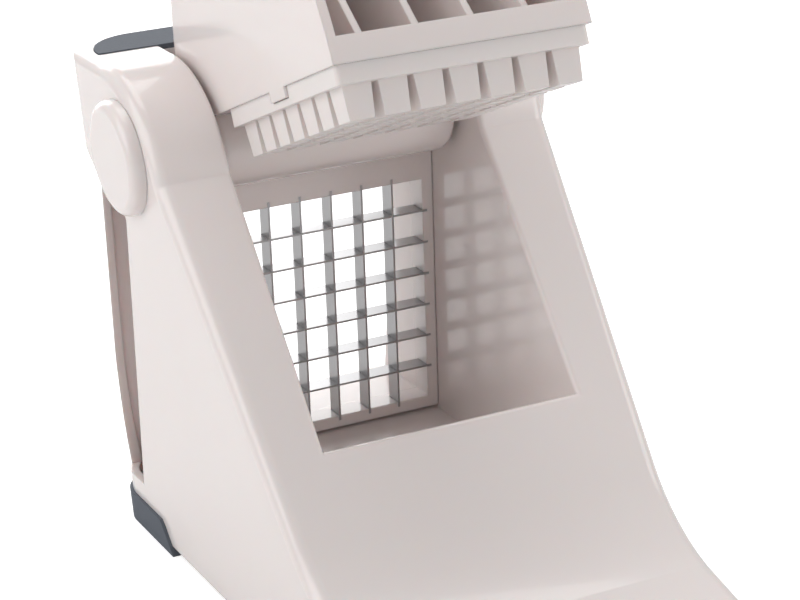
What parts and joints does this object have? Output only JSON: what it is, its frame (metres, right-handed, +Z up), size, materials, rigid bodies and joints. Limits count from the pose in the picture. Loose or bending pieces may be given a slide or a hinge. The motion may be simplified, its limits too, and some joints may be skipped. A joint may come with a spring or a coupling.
{
  "type": "lever press potato chipper",
  "caption": "Sloped tower with a windowed chamber, a square blade grid behind it and a hinged hollow lever carrying a pegged pusher plate, on rubber feet.",
  "frame": {"origin": "middle of the overall footprint, on the plane under the rubber feet", "axes": "+Z up, +Y towards the back where the cut pieces come out, +X to the right seen from the front"},
  "size_m": [0.1318, 0.194, 0.2764],
  "materials": {
    "white_plastic": "glossy warm white moulded plastic",
    "pusher_plastic": "satin warm white moulded plastic",
    "dark_rubber": "matte dark slate rubber",
    "blade_steel": "polished thin stainless strip",
    "pin_steel": "plain steel",
    "bush_plastic": "matte bearing plastic"
  },
  "bodies": {
    "tower": {"body_shell": "white_plastic", "blade_frame": "white_plastic", "vertical_blades": "blade_steel", "horizontal_blades": "blade_steel", "exit_duct": "white_plastic", "base_plate": "white_plastic", "base_screws": "pin_steel", "top_pad": "dark_rubber", "pivot_cap_right": "white_plastic", "pivot_cap_left": "white_plastic", "hinge_pin": "pin_steel", "hinge_bush_right": "bush_plastic", "hinge_bush_left": "bush_plastic", "pin_clips": "pin_steel", "foot_rear_right": "dark_rubber", "foot_rear_left": "dark_rubber", "foot_front_right": "dark_rubber", "foot_front_left": "dark_rubber"},
    "lever": {"lever_shell": "white_plastic", "lever_grip": "dark_rubber", "pusher": "pusher_plastic"}
  },
  "joints": [
    {"name": "lever_hinge", "type": "hinge", "parent": "tower", "child": "lever", "pos_m": [0, 0.053, 0.125], "axis": [1, 0, 0], "range_deg": [0, 112.5]}
  ]
}
